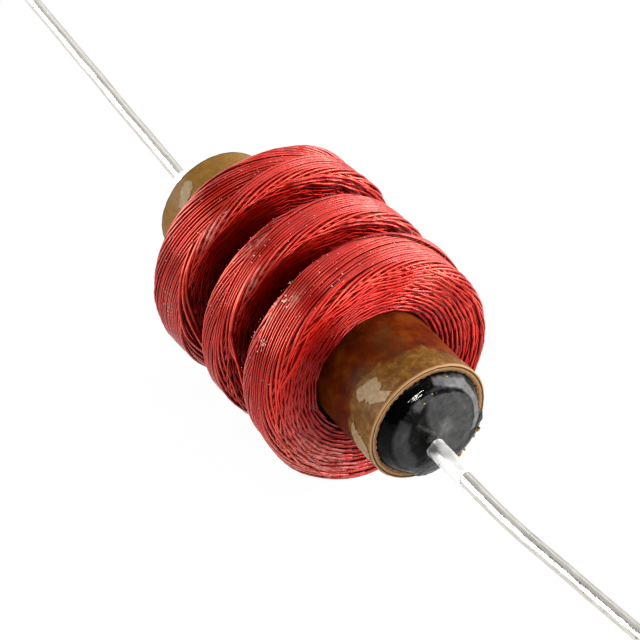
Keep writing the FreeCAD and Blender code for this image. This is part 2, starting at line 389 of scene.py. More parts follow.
def enamel(name, deep=1.0, metal=0.4, gloss=0.22, coat=0.15):
    """Red enamelled wire, each turn a little different, with films of dried varnish, a painted highlight
    on each strand's crest and painted shade.

    Its marks: the turn, the strength of the varnish film and painted highlight, and the painted shade,
    which is high on a strand's flanks, in the gaps and in the tube's shadow, and low on its crest.
    Deep darkens the colours, for the copies that paint shade."""
    shade = Shade(name)
    strand = shade.node("ShaderNodeTexNoise", {
        "W": shade.mark("turn"),
        "Scale": 9.0,
        "Detail": 2.0,
    }, noise_dimensions="1D").outputs[0]
    cloud = shade.noise(0.8, 4.0)
    speck = shade.noise(6.0, 4.0, 0.7)
    tone = shade.sums("ADD", shade.times(strand, 0.6), shade.times(cloud, 0.4))
    red = shade.ramp(tone, [
        (0.30, (0.27 * deep, 0.0010 * deep, 0.0002 * deep)),
        (0.50, (0.45 * deep, 0.0050 * deep, 0.0010 * deep)),
        (0.72, (0.65 * deep, 0.0180 * deep, 0.0050 * deep)),
    ])
    dust = shade.between(shade.times(cloud, speck), 0.32, 0.48, 0.0, 0.12)
    # Varnish films, and the painted highlight on the front coil's lower face, share this mark.
    film_and_painted_light = shade.times(shade.mark("film_and_painted_light"), shade.between(shade.noise(3.0, 4.0, 0.6), 0.35, 0.60))
    haze_and_highlight = shade.times(shade.sums("MAXIMUM", dust, film_and_painted_light), deep)
    # Painted highlight along each strand's crest, where the painted shade is low, patchy by noise.
    crest = shade.between(shade.mark("painted_shade"), 0.16, 0.04, 0.0, 0.55 * deep)
    crest = shade.times(crest, shade.between(shade.noise(0.7, 3.0), 0.38, 0.62, 0.15, 1.0))
    colour = shade.blend(crest, red, PAINTED_HIGHLIGHT_RED)
    colour = shade.blend(haze_and_highlight, colour, VARNISH_AND_HIGHLIGHT_PINK)
    # Painted shade: strand flanks, the gaps, and the tube's shadow on the front coil's face.
    colour = shade.blend(shade.mark("painted_shade"), colour, PAINTED_SHADE_RED)
    return shade.surface({
        "Base Color": colour,
        "Metallic": metal,
        "Roughness": shade.between(speck, 0.3, 0.7, 0.12, 0.24),
        "Normal": shade.bump(shade.noise(9.0, 3.0, 0.6), 0.012),
        "Specular IOR Level": gloss,
        "Coat Weight": coat,
        "Coat Roughness": 0.08,
    })


def paper():
    """Brown paper tube: lacquered red-brown by the coils, olive-tan towards its rims.

    Its marks: the distance past the lacquer's edge, and the radius, for the layers at the rims."""
    shade = Shade("paper_tube")
    along = shade.sums("ABSOLUTE", axial(shade))
    fine = shade.noise(3.2, 5.0, 0.65)
    grain = shade.noise(2.2, 4.0, 0.6, shade.stretched((6.0, 0.6, 0.6)))
    dark = shade.ramp(shade.noise(1.1, 5.0, 0.6), [
        (0.30, (0.034, 0.0050, 0.0003)),
        (0.50, (0.088, 0.0110, 0.0003)),
        (0.68, (0.135, 0.0300, 0.0015)),
    ])
    light = shade.ramp(fine, [
        (0.28, (0.062, 0.024, 0.0035)),
        (0.50, (0.122, 0.048, 0.0065)),
        (0.72, (0.190, 0.098, 0.0240)),
    ])
    band = shade.sums("ADD", shade.mark("band"), shade.between(
        shade.noise(1.6, 5.0, 0.65), 0.2, 0.8, -0.22, 0.22))
    colour = shade.blend(shade.between(band, -0.14, 0.20), dark, light)
    stain = shade.between(shade.noise(0.9, 4.0, 0.6), 0.50, 0.66, 0.0, 0.65)
    colour = shade.blend(stain, colour, (0.070, 0.026, 0.007))
    layers = shade.node("ShaderNodeTexNoise", {
        "W": shade.mark("depth"),
        "Scale": 11.0,
        "Detail": 3.0,
    }, noise_dimensions="1D").outputs[0]
    bare = shade.between(axial(shade), -5.0, -6.0, 0.0, 0.42)
    colour = shade.blend(bare, colour, (0.245, 0.126, 0.018))
    edge = shade.ramp(layers, [(0.38, (0.045, 0.018, 0.005)), (0.62, (0.270, 0.150, 0.068))])
    colour = shade.blend(shade.between(along, TUBE_HALF - 0.15, TUBE_HALF - 0.05), colour, edge)
    rear_rim = shade.between(axial(shade), 0.17 - TUBE_HALF, 0.09 - TUBE_HALF, 0.0, 0.85)
    colour = shade.blend(rear_rim, colour, (0.030, 0.012, 0.003))
    height = shade.sums("ADD", shade.times(fine, 0.6), shade.times(grain, 0.5))
    return shade.surface({
        "Base Color": colour,
        "Roughness": shade.between(fine, 0.3, 0.7, 0.28, 0.5),
        "Normal": shade.bump(height, 0.02),
        "Specular IOR Level": 0.08,
    })


def resin():
    """Black resin with dust, faint smears and, where its mark says, painted smoky-grey reflections."""
    shade = Shade("black_resin")
    dust = shade.noise(11.0, 4.0, 0.75)
    blotches = shade.noise(2.4, 5.0, 0.6)
    black = shade.ramp(shade.noise(0.7, 3.0), [
        (0.35, (0.0005, 0.0005, 0.0005)),
        (0.75, (0.002, 0.002, 0.0018)),
    ])
    # Painted reflections: near-white paint where the mark is strong, patchy by noise.
    film_and_painted_light = shade.times(shade.mark("film_and_painted_light"), shade.between(blotches, 0.25, 0.75, 0.55, 1.45))
    colour = shade.blend(film_and_painted_light, black, (1.0, 0.985, 0.975))
    colour = shade.blend(shade.between(dust, 0.68, 0.75, 0.0, 0.35), colour, (0.25, 0.23, 0.20))
    normal = shade.bump(shade.noise(1.6, 2.0, 0.5), 0.06)
    return shade.surface({
        "Base Color": colour,
        "Roughness": shade.between(blotches, 0.35, 0.75, 0.12, 0.30),
        "Normal": shade.bump(dust, 0.005, normal),
        "IOR": 1.15,
    })


def tin(name, colour_low, colour_high, low, high):
    """Tinned or soldered metal with fine drawn streaks and small dark flecks.

    Its colours run between two, and its roughness from low to high."""
    shade = Shade(name)
    streak = shade.noise(3.0, 3.0, 0.6, shade.stretched((0.25, 3.0, 3.0)))
    cloud = shade.noise(1.3, 3.0)
    fleck = shade.noise(2.6, 3.0, 0.7)
    colour = shade.ramp(streak, [(0.3, colour_low), (0.7, colour_high)])
    colour = shade.blend(shade.between(fleck, 0.655, 0.70, 0.0, 0.8), colour, (0.16, 0.14, 0.12))
    height = shade.sums("ADD", shade.times(streak, 0.7), shade.times(cloud, 0.6))
    return shade.surface({
        "Base Color": colour,
        "Metallic": 1.0,
        "Roughness": shade.between(cloud, 0.3, 0.7, low, high),
        "Normal": shade.bump(height, 0.025),
    })


def iron():
    """Grey iron powder slug, hidden in the tube."""
    shade = Shade("iron_slug")
    grain = shade.noise(5.0, 4.0)
    colour = shade.ramp(grain, [(0.3, (0.05, 0.048, 0.045)), (0.7, (0.16, 0.155, 0.15))])
    return shade.surface({
        "Base Color": colour,
        "Metallic": 0.7,
        "Roughness": shade.between(grain, 0.3, 0.7, 0.4, 0.7),
        "Normal": shade.bump(grain, 0.05),
    })


def crumbs(name, low, high, rough):
    """Dried lacquer, varnish or flux."""
    shade = Shade(name)
    grain = shade.noise(4.0, 4.0, 0.7)
    return shade.surface({
        "Base Color": shade.ramp(grain, [(0.3, low), (0.7, high)]),
        "Roughness": shade.between(grain, 0.3, 0.7, rough, rough + 0.25),
        "Normal": shade.bump(grain, 0.03),
        "Specular IOR Level": 0.3,
    })


RED = enamel("red_enamel")
# Darker copies of the enamel as painted shade: for strands low in the gaps, and for the core under the
# strands.
SHADED_GAP_RED = enamel("red_enamel_gap_shaded", 0.75, 0.6, 0.10, 0.0)
SHADED_CORE_RED = enamel("red_enamel_core_shaded", 0.12)
PAPER = paper()
RESIN = resin()
TIN = tin("tinned_wire", (0.58, 0.552, 0.500), (0.81, 0.782, 0.730), 0.12, 0.24)
SOLDER = tin("solder", (0.90, 0.89, 0.86), (0.97, 0.96, 0.94), 0.42, 0.54)
IRON = iron()
FLAKE = crumbs("lacquer_flake", (0.16, 0.090, 0.032), (0.30, 0.200, 0.095), 0.40)
FLUX = crumbs("amber_flux", (0.20, 0.075, 0.008), (0.52, 0.30, 0.045), 0.15)
VARNISH = crumbs("varnish_crumb", (0.50, 0.22, 0.19), (0.85, 0.66, 0.60), 0.25)

# Pieces below stand for every node but the iron slug.
for object_of_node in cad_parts.values():
    object_of_node.data.materials.clear()
    object_of_node.data.materials.append(IRON)


# Coils

# The one wire of a coil: its turns, how many of them lie highest and the rise of each of these, the
# distance between its points, which is longer where it is hidden, and its radii.
COIL_TURNS = 450
TOP_TURNS = 40
TOP_RISE = 0.0090
STRAND_STEP = 0.53
HIDDEN_STEP = 3.2 * STRAND_STEP
FIRST_RADIUS = 3.30
LAST_RADIUS = 6.04
STRAND_RADIUS = 0.074

# A coil's section: radius of its corners, distance of the strands' middles inside its faces, and how
# far its faces bulge.
CORNER_ROUND = 0.42
STRAND_INSET = 0.07
FACE_BULGE = 0.06

# The nearer this is to 1, the straighter the strands run from face to face.
STRAIGHTNESS = 0.94
# A strand sets out this far under its layer and climbs over the others until late in its run.
LIFT = 0.1
LIFT_TOP = 0.82

# Core under the strands, dark as painted shade: its distance inside the faces, and its columns round the
# tube.
CORE_INSET = 0.34
CORE_COLUMNS = 96

# Every face but the front coil's outer one lies below this place along, and gets painted shade.
GAP_END = 4.2

# Each coil's half width, seed, angle of its last turn, and turns in which its pattern moves half
# a round.
COILS = {
    "front": (1.45, 11, 100, 19.0),
    "middle": (1.2, 22, 55, 16.0),
    "rear": (1.45, 33, 350, 19.0),
}
COIL_PLACES = {name: node_middle("winding_" + name)[0] for name in COILS}

# Bulges of the coils' shoulders: which side, angle, half of the reach in degrees, height along the
# tube and height outward.
SWELLS = {
    "front": ((1, 262, 42, 0.30, 0.10), (1, 352, 48, 0.26, 0.20)),
    "middle": ((1, 52, 24, 0.20, 0.18),),
    "rear": ((1, 36, 28, 0.26, 0.28), (-1, 46, 30, 0.20, 0.28), (-1, 140, 44, 0.20, 0.0)),
}

# Films of dried varnish on the coils: place along, angle, half of their reach each way, strength.
FILMS = (
    (-2.90, 133, 0.22, 8, 1.0), (-3.80, 176, 0.50, 9, 0.35), (-5.30, 140, 0.30, 40, 0.5),
    (-4.60, 60, 1.30, 14, 0.6), (1.15, 134, 0.20, 8, 1.0), (-0.25, 124, 0.35, 8, 0.7),
    (-0.85, 140, 0.30, 40, 0.4), (0.30, 60, 1.00, 10, 0.5), (3.35, 141, 0.40, 9, 0.7),
    (3.90, 127, 0.30, 5, 0.9), (2.95, 160, 0.25, 25, 0.7), (4.30, 58, 1.30, 14, 0.5),
)


def face_reach(face, share):
    """Reach of a coil's face from its middle, from foot to crest: it leans out and bulges."""
    lean = (1 - smooth_step(-0.6, 1.0, share)) / 0.69
    return face - FOOT_INSET * lean + FACE_BULGE * (1 - (2 * share - 1) ** 2)


def film_share(along, angle):
    """Strength of the varnish film at places on the coils."""
    return np.max([
        strength * bell(along - place, width) * bell(around(angle, middle), turn)
        for place, middle, width, turn, strength in FILMS
    ], axis=0)


def corner_share(along, widest, corner):
    """Share of the way round a coil's rounded corner, at places from the coil's middle."""
    return np.clip((np.abs(along) - (widest - corner)) / corner, 0, 1)


def corner_drop(along, widest, corner):
    """Depth of a coil's rounded corner below its rim, at places from the coil's middle."""
    return corner * (1 - np.sqrt(1 - corner_share(along, widest, corner) ** 2))


def painted_flank_shade(crest):
    """Painted shade on a strand's flanks, from the share of its radius towards the outside."""
    return 0.95 * smooth_step(0.98, 0.14, crest)


def strand_layer(turn):
    """Radius at which a turn is wound: closely at first, and higher on one another at the end."""
    return LAST_RADIUS - np.interp(COIL_TURNS - turn, (0, TOP_TURNS, COIL_TURNS), (
        0, TOP_TURNS * TOP_RISE, LAST_RADIUS - FIRST_RADIUS))


def strand_line(name):
    """Line of a coil's wire, with its angles, turns and the way that the coil's surface faces.

    The last turns lie in one direction from edge to edge at the last angle, and further round they
    lie over turns that run the other way."""
    place = COIL_PLACES[name]
    face, seed, last_angle, each_way = COILS[name]
    pace = 2 * math.pi * (1 - 1 / (2 * each_way))
    turn = [0.0]
    while turn[-1] < COIL_TURNS:
        deep = turn[-1] < COIL_TURNS - TOP_TURNS
        hidden = deep and abs(math.cos(pace * (turn[-1] - COIL_TURNS))) < 0.80
        step = HIDDEN_STEP if hidden else STRAND_STEP
        turn.append(turn[-1] + step / (2 * math.pi * strand_layer(turn[-1])))
    turn = np.array(turn)
    layer = strand_layer(turn)
    share = (layer - FIRST_RADIUS) / (LAST_RADIUS - FIRST_RADIUS)
    swing = math.pi + pace * (turn - COIL_TURNS)
    across = np.arcsin(STRAIGHTNESS * np.cos(swing)) / math.asin(STRAIGHTNESS)
    corner = CORNER_ROUND * share ** 1.5 + 1e-6
    widest = face_reach(face, share) - STRAND_INSET
    along = (widest - 0.094 * corner) * across
    past = corner_share(along, widest, corner)
    leaning = np.stack([np.sign(along) * past, np.sqrt(1 - past ** 2)], -1)
    lift = np.interp((swing / math.pi) % 1, (0, LIFT_TOP, 1), (-LIFT, LIFT, -LIFT))
    wander = waves(seed, 60, 1.5, 18)
    sink = waves(seed + 1, 60, 1.5, 18)
    height = layer + lift - corner_drop(along, widest, corner) + 0.022 * sink(turn)
    height = np.minimum(height, COIL_RADIUS - STRAND_RADIUS - 0.002)
    along = place + along + (0.018 + 0.040 * np.abs(across) ** 4) * wander(turn)
    angle = last_angle + 360 * (turn - COIL_TURNS)
    for side, middle, width, ahead, outward in SWELLS[name]:
        weight = bell(around(angle, middle), width) * smooth_step(0.4, 1.0, side * across) * share
        along += ahead * side * weight
        height += outward * weight
    return polar(along, height, angle), angle, turn, leaning


def coil_core(name):
    """Points and faces of the core under a coil's strands, dark as painted shade."""
    face = COILS[name][0]
    half = (
        (FOOT_INSET + CORE_INSET, TUBE_RADIUS + 0.03),
        (CORE_INSET, 4.8),
        (CORE_INSET + 0.05, COIL_RADIUS - 0.8),
        (0.65, COIL_RADIUS - 0.52),
    )
    profile = [(inset - face, radius) for inset, radius in half]
    profile += [(face - inset, radius) for inset, radius in half[::-1]]
    profile = resample(profile, 0.4)
    along = np.repeat(profile[:, :1] + COIL_PLACES[name], CORE_COLUMNS, 1)
    return turned_on_tube(along, np.repeat(profile[:, 1:], CORE_COLUMNS, 1))


def make_coil(name):
    """Cross-wound coil: its one wire, wound from side to side, over a core dark with painted shade."""
    line, angle, turn, leaning = strand_line(name)
    outward = np.stack([0 * angle, np.cos(np.radians(angle)), np.sin(np.radians(angle))], -1)
    sides = 6
    wire_points, wire_faces = sweep(line, STRAND_RADIUS, outward, sides)
    facing = outward * leaning[:, 1:]
    facing[:, 0] = leaning[:, 0]
    offsets = wire_points.reshape(len(line), sides, 3) - line[:, None]
    crest = (offsets * facing[:, None]).sum(-1) / STRAND_RADIUS
    along = line[:, 0]
    height = np.hypot(line[:, 1], line[:, 2] - AXIS_HEIGHT)
    in_gap = along < GAP_END
    film_and_painted_light = film_share(along, angle % 360) * smooth_step(5.68, 5.90, height)

    # Painted shade in the gaps, and a painted shadow of the tube on the front coil's outer face, near the
    # tube.
    painted_gap_shade = 0.60 * smooth_step(5.8, 4.3, height) * in_gap
    painted_tube_shadow = 0.84 * smooth_step(5.7, 4.5, height) * bell(around(angle, 148), 46) * ~in_gap
    painted_shade = painted_flank_shade(crest) * (1 - 0.70 * film_and_painted_light)[:, None]
    painted_shade = np.maximum(painted_shade, np.maximum(painted_gap_shade, painted_tube_shadow)[:, None])

    # Painted highlight, in the varnish colour, on the lower half of the front coil's outer face.
    painted_highlight_place = bell(around(angle, 226), 30) * (along > 5.0)
    film_and_painted_light = np.maximum(film_and_painted_light, 0.75 * smooth_step(3.9, 4.8, height) * painted_highlight_place)
    core_points, core_faces = coil_core(name)
    points, faces = join([(wire_points, wire_faces), (core_points, core_faces)])
    marks = {"turn": np.repeat(turn, sides), "film_and_painted_light": np.repeat(film_and_painted_light, sides), "painted_shade": painted_shade.reshape(-1)}
    plain = np.zeros(len(core_points))
    marks = {label: np.append(values, plain) for label, values in marks.items()}
    # Strands low in the gaps take the darker enamel copy as painted shade; the core takes the darkest.
    red, under, gap = 0, 1, 2
    picks = np.full(len(faces), under)
    picks[:len(wire_faces)] = gap
    picks[:len(wire_faces) - 2] = np.where((height < 5.62) & in_gap, gap, red)[:-1].repeat(sides)
    coil = new_piece("coil_" + name, points, faces, [RED, SHADED_CORE_RED, SHADED_GAP_RED], marks=marks, picks=picks)
    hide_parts("winding_" + name)


for name in COILS:
    make_coil(name)


# Paper tube

RIM_ROUND = 0.07
LACQUER_THICKNESS = 0.03
# Edge of the red-brown lacquer: angle and place along at the front end, and its place at the rear.
LACQUER_EDGE = (
    (0, 8.30), (40, 8.75), (62, 8.65), (76, 8.12), (113, 7.95), (135, 7.50), (152, 7.45), (169, 7.85),
    (200, 8.10), (250, 7.80), (300, 8.00), (360, 8.30),
)
REAR_LACQUER_EDGE = 6.1


def rim_rows(end, outer, angle):
    """Places along and radii round a rim, from the tube's outside over its end into the bore."""
    inner = TUBE_BORE + 0.02 + 0.035 * ripples(8 + end, 40, 60, 0.1)(0, angle)
    face = TUBE_HALF - 0.012 + 0.010 * ripples(12 + end, 30, 30, 0.1)(0, angle)
    rows = []
    for turn in (30, 60, 90):
        bend = math.radians(turn)
        rows.append((face - RIM_ROUND * (1 - math.sin(bend)), outer - RIM_ROUND * (1 - math.cos(bend))))
    for share in (0.25, 0.5, 0.75):
        lump = 0.012 * ripples(int(20 + 10 * share) + end, 24, 50, 0.1)(0, angle)
        rows.append((face + lump - 0.012, outer - RIM_ROUND + (inner - outer + RIM_ROUND) * share))
    rows.append((face - 0.03, inner))
    rows.append((face - 0.12, inner - 0.01))
    rows.append((0 * face + 7.2, 0 * inner + TUBE_BORE))
    return rows


def make_tube():
    """Tube with a rounded, rough rim at each end, a ragged coat of lacquer and an uneven skin."""
    columns = 256
    near = np.linspace(5.0, TUBE_HALF - RIM_ROUND, 46)
    outside = np.concatenate([-near[::-1], np.linspace(-4.6, 4.6, 24), near])
    angle = 360 * np.arange(columns) / columns
    edge_line = ripples(7, 30, 24, 1.0)

    def past_edge(along):
        """Distance past the lacquer's edge, towards either end."""
        edge = np.where(along > 0, np.interp(angle, *zip(*LACQUER_EDGE)), REAR_LACQUER_EDGE)
        return np.abs(along) - edge - 0.12 * edge_line(np.sign(along) * 3, angle)

    along = np.repeat(outside[:, None], columns, 1)
    skin = 0.008 * ripples(5, 40, 14, 5.0)(along, angle) + 0.004 * ripples(6, 30, 40, 12.0)(along, angle)
    coat = LACQUER_THICKNESS * smooth_step(0, 0.12, past_edge(along))
    radius = TUBE_RADIUS - 0.045 + skin + coat
    rows = list(zip(along, radius)) + rim_rows(1, radius[-1], angle)
    rows += [(-place, ring) for place, ring in rim_rows(-1, radius[0], angle)[::-1]]
    along, radius = (np.stack(values) for values in zip(*rows))
    points, faces = turned_on_tube(along, radius)
    marks = {"band": past_edge(along).reshape(-1), "depth": radius.reshape(-1)}
    tube = new_piece("paper_tube", points, faces, [PAPER], marks=marks)
    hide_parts("core_tube")


make_tube()


# Leads and solder

# Reach of the leads from the tube's ends, where they leave the plugs, and their run inside.
LEAD_REACH = 38.0
LEAD_EXIT = 0.65
LEAD_ROOT = 2.85
# Each lead: which end, place (y, z) about the tube's axis where it leaves the plug, its angles across
# and up before the bend and after it, how far ahead the bend lies and its reach each way.
LEADS = {
    "front": (1, (-0.206, -0.75), (0.77, -1.15), (6.22, -1.15), 6.05, 1.713),
    "rear": (-1, (-0.191, -0.19), (0, 0), (3.55, 0), 2.4, 0.8),
}

# Solder round a lead: its foot's height over the tube's end, the slant of its end, and its places
# ahead of the foot with their radii.
JOINT_HEIGHT = 0.80
JOINT_SLANT = 0.22
JOINT_PROFILE = (
    (-0.30, 0.50), (0.0, 0.55), (0.08, 0.50), (0.25, 0.468), (1.4, 0.46), (2.0, 0.44), (2.45, 0.41),
    (2.62, 0.395), (2.68, 0.345),
)


def lead_line(name):
    """Points along the middle of a lead, from inside the plug to its tip."""
    end, place, start, last, bend_place, reach = LEADS[name]
    exit_point = np.array([TUBE_HALF + LEAD_EXIT, *place])
    start, last = (np.array([1, *np.tan(np.radians(slope))]) for slope in (start, last))
    corner = exit_point + start * bend_place
    points = [exit_point + start * step for step in np.linspace(-LEAD_ROOT, bend_place - reach, 40)]
    for share in np.linspace(0, 1, 14)[1:-1]:
        before, after = corner - start * reach * (1 - share), corner + last * reach * share
        points.append(before + (after - before) * share)
    length = LEAD_REACH - LEAD_EXIT - bend_place
    points += [corner + last * step for step in np.linspace(reach, length, 180)]
    return np.array(points) * (end, 1, 1) + (0, 0, AXIS_HEIGHT)


def make_lead(name, seed):
    """Tinned lead: nearly straight, with the slight dents of handling and a cut tip."""
    line = lead_line(name)
    place = np.abs(line[:, 0])
    sway = waves(seed, 10, 0.25, 1.2)
    loose = smooth_step(12.6, 20.0, place) * smooth_step(47.9, 40.0, place)
    line[:, 1] += 0.020 * sway(place) * loose
    line[:, 2] += 0.020 * sway(place + 40) * loose
    sides = 32
    points, faces = sweep(line, LEAD_RADIUS, (0, 0, 1), sides)
    rings = points.reshape(len(line), sides, 3)
    turn = full_turn(sides)
    dents = waves(seed + 1, 24, 0.6, 7.0)
    uneven = 1 + 0.012 * dents(place[:, None] + 3 * np.cos(turn - seed)[None]) - 0.012
    tip = np.ones((len(line), 1))
    tip[-2:, 0] = 0.97, 0.82
    rings[:] = line[:, None] + (rings - line[:, None]) * (uneven * tip)[..., None]
    lead = new_piece("tinned_lead_" + name, rings.reshape(-1, 3), faces, [TIN], sharp=50)
    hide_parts("lead_" + name)
    return line


def make_joint(name, line, seed):
    """Solder round the lead: a flared foot on the resin, an uneven sleeve and a slanting end."""
    ahead = unit(line[20] - line[0])
    foot = line[0] + ahead * ((TUBE_HALF + JOINT_HEIGHT - abs(line[0][0])) / abs(ahead[0]))
    turn = full_turn(64)
    profile = resample(JOINT_PROFILE, 0.09)
    place, radius = profile[:, :1], profile[:, 1:]
    slant = JOINT_SLANT * np.cos(turn - math.radians(150))
    lumps = ripples(seed, 24, 6, 5.0)(place, np.degrees(turn)[None])
    radius = np.minimum(radius + 0.014 * lumps * smooth_step(2.60, 2.1, place), 0.56)
    place = place + slant * smooth_step(0.3, 2.6, place)
    points, faces = turned(foot, ahead, (0, 0, 1), place, radius, closed=False)
    joint = new_piece("solder_" + name, points, faces, [SOLDER], sharp=60)
    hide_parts("lead_joint_" + name)
    make_flux(name, foot, ahead, seed)
    return foot


def make_flux(name, foot, ahead, seed):
    """Ring of amber flux round the foot of the solder, thicker on one side."""
    turn = np.append(full_turn(48), 0)[:, None]
    side = unit(np.cross(ahead, (0, 0, 1)))
    radius = 0.53 + 0.02 * np.cos(3 * turn + seed)
    circle = foot + ahead * 0.04 + radius * (side * np.cos(turn) + np.cross(side, ahead) * np.sin(turn))
    points, faces = sweep(circle, 0.045 + 0.035 * np.cos(turn[:, 0] - 1.0), -ahead, 10)
    flux = new_piece("flux_" + name, points, faces, [FLUX])


lines = {"front": make_lead("front", 51), "rear": make_lead("rear", 57)}
feet = {"front": make_joint("front", lines["front"], 61), "rear": make_joint("rear", lines["rear"], 63)}


# Resin plugs

# Profiles: height over the tube's end and radius, from the rim to the middle. On the hidden side the
# resin has run out over the rim.
PLAIN_PLUG = (
    (0.01, 2.765), (0.10, 2.72), (0.48, 2.46), (0.58, 2.36), (0.76, 2.04), (0.84, 1.60), (0.875, 0.02),
)
SPILT_PLUG = (
    (0.02, 2.98), (0.12, 3.02), (0.24, 2.99), (0.40, 2.86), (0.60, 2.50), (0.74, 2.06), (0.83, 1.60),
    (0.865, 0.02),
)

# Painted smoky-grey reflections on the resin: corners (y, z) about the tube's axis, softness of the
# edge, radius that each ends at, strength.
PAINTED_REFLECTIONS = (
    ((
        (-0.62, 1.50), (-0.30, -0.10), (0.20, -0.90), (0.95, -1.75), (1.62, -1.40), (1.95, -0.75),
        (2.05, 0.00), (1.88, 0.93), (1.35, 1.81), (0.58, 2.31), (-0.07, 2.48), (-0.45, 2.30),
        (-0.60, 1.95),
    ), 0.20, 2.14, 0.028),
    (((-0.10, 0.60), (-0.05, -0.20), (0.60, -0.50), (1.00, 0.20), (0.50, 0.80)), 0.55, 9.0, 0.066),
    ((
        (-0.08, 2.52), (0.58, 2.35), (1.37, 1.85), (1.92, 0.93), (2.11, -0.03), (1.90, -0.78), (2.20, -0.75),
        (2.44, -0.10), (2.27, 0.85), (1.75, 1.98), (0.72, 2.58), (0.02, 2.70),
    ), 0.05, 9.0, 0.072),
    ((
        (-1.90, 1.40), (-2.36, 0.50), (-2.30, -0.45), (-1.85, -1.50), (-1.20, -2.20), (-1.10, -1.10),
        (-1.50, -0.50), (-1.68, 0.25), (-1.52, 1.10),
    ), 0.13, 2.42, 0.020),
    ((
        (-1.80, -1.65), (-0.60, -2.60), (0.60, -2.65), (1.30, -2.10), (0.80, -1.55), (-0.40, -1.60),
    ), 0.20, 9.0, 0.025),
    (((-1.35, 1.95), (-1.05, 1.60), (-0.80, 1.85), (-1.00, 2.20)), 0.09, 9.0, 0.028),
)


def covered(across, up, corners, soft):
    """Share of an area with soft edges at places across and up."""
    corners = np.asarray(corners, float)
    nearest = np.full(across.shape, np.inf)
    inside = np.zeros(across.shape, bool)
    for (start_across, start_up), (last_across, last_up) in zip(corners, np.roll(corners, -1, 0)):
        run, rise = last_across - start_across, last_up - start_up
        along, above = across - start_across, up - start_up
        share = np.clip((along * run + above * rise) / (run ** 2 + rise ** 2), 0, 1)
        nearest = np.minimum(nearest, np.hypot(along - share * run, above - share * rise))
        crosses = (start_up > up) != (last_up > up)
        inside ^= crosses & (across < start_across + above * run / (rise or 1))
    return smooth_step(-soft, soft, np.where(inside, nearest, -nearest))


def make_plug(name, end, seed):
    """Plug with a steep shoulder and a flat top, run out over the rim on the hidden side."""
    columns = 224
    angle = 360 * np.arange(columns) / columns
    tube_angle = end * angle
    share = np.linspace(0, 1, 72)
    plain, spilt = (evenly(resample(profile, 0.06), share) for profile in (PLAIN_PLUG, SPILT_PLUG))
    ragged = ripples(seed, 30, 40, 0.1)(0, angle)
    away = np.abs(around(tube_angle, HIDDEN_SIDE)) + 5 * ragged
    weight = smooth_step(62, 40, away)
    along = plain[:, :1] * (1 - weight) + spilt[:, :1] * weight
    radius = plain[:, 1:] * (1 - weight) + spilt[:, 1:] * weight
    shore = smooth_step(0.35, 0.0, share)[:, None]
    radius = radius + shore * weight * (0.03 * ripples(seed + 1, 40, 60, 0.1)(0, angle) - 0.02)
    inside = smooth_step(0.02, 0.2, share)[:, None] * smooth_step(0.0, 0.8, radius)
    along = along + 0.030 * inside * ripples(seed + 2, 26, 5, 1.6)(radius, angle)

    # The resin rises in a low ring round the foot of the solder.
    place = polar(0, radius, tube_angle)
    gap = np.hypot(place[..., 1] - feet[name][1], place[..., 2] - feet[name][2])
    along = along + 0.10 * bell(gap - 0.40, 0.22)
    for depth, size in ((0.2, 2.755), (PLUG_DEPTH, 2.74), (PLUG_DEPTH, 0.02)):
        along = np.vstack([np.full(columns, -depth), along])
        radius = np.vstack([np.full(columns, size), radius])
    origin = (end * TUBE_HALF, 0, AXIS_HEIGHT)
    points, faces = turned(origin, (end, 0, 0), (0, 1, 0), along, radius, closed=False)
    slow, quick = ripples(seed + 3, 30, 5, 3.0), ripples(seed + 4, 50, 40, 14.0)
    sway = (0.05 * slow(radius, angle) + 0.012 * quick(radius, angle)).reshape(-1)
    # Painted reflections on the resin, from the areas listed above.
    film_and_painted_light = np.zeros(len(points))
    across, up = points[:, 1] + sway, points[:, 2] - AXIS_HEIGHT + sway
    for corners, soft, limit, strength in PAINTED_REFLECTIONS:
        within = smooth_step(limit + 0.04, limit - 0.04, np.hypot(across, up))
        film_and_painted_light = np.maximum(film_and_painted_light, strength * within * covered(across, up, corners, soft))
    plug = new_piece("resin_" + name, points, faces, [RESIN], marks={"film_and_painted_light": film_and_painted_light})
    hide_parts("end_plug_" + name)


make_plug("front", 1, 71)
make_plug("rear", -1, 81)


# Thin wires outside the coils

SIDES_OF_WIRE = 10


def make_strand(name, points, outward, tone, node=None):
    """Single wire along points, with a slow change of tone along it and painted shade on its flanks."""
    mesh_points, faces = sweep(points, WIRE_RADIUS, outward, SIDES_OF_WIRE)
    crest = np.cos(full_turn(SIDES_OF_WIRE))
    marks = {
        "turn": np.repeat(np.linspace(0, 2, len(points)), SIDES_OF_WIRE) + tone,
        "painted_shade": np.tile(0.8 * painted_flank_shade(crest), len(points)),
    }
    wire = new_piece(name, mesh_points, faces, [RED], marks=marks)
    if node:
        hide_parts(node)


def make_wire(name, places, node=None):
    """Smooth wire through places (along, radius, angle) about the tube."""
    along, radius, angle = through(places, 10).T
    points = polar(along, radius, angle)
    outward = points - polar(along, 0 * radius, angle) + 1e-9
    make_strand(name, points, outward, len(name), node)


# Wire from one coil down to the next: steps along from the coil's face, radii and steps round.
CROSSOVER = (
    (-0.75, 6.00, -34), (-0.40, 6.07, -18), (-0.12, 6.03, -4), (0.02, 5.95, 5), (0.12, 5.84, 14),
    (0.40, 5.55, 23), (0.70, 5.10, 33), (0.85, 4.40, 45), (0.95, 3.85, 58), (1.10, 3.48, 78),
    (1.25, 3.40, 104),
)
for gap, coil, angle in (("front", "middle", 152.0), ("rear", "rear", 176.0)):
    face = COIL_PLACES[coil] + COILS[coil][0]
    places = [(face + step, radius, angle + turn) for step, radius, turn in CROSSOVER]
    make_wire("strand_across_" + gap, places, "crossover_" + gap)


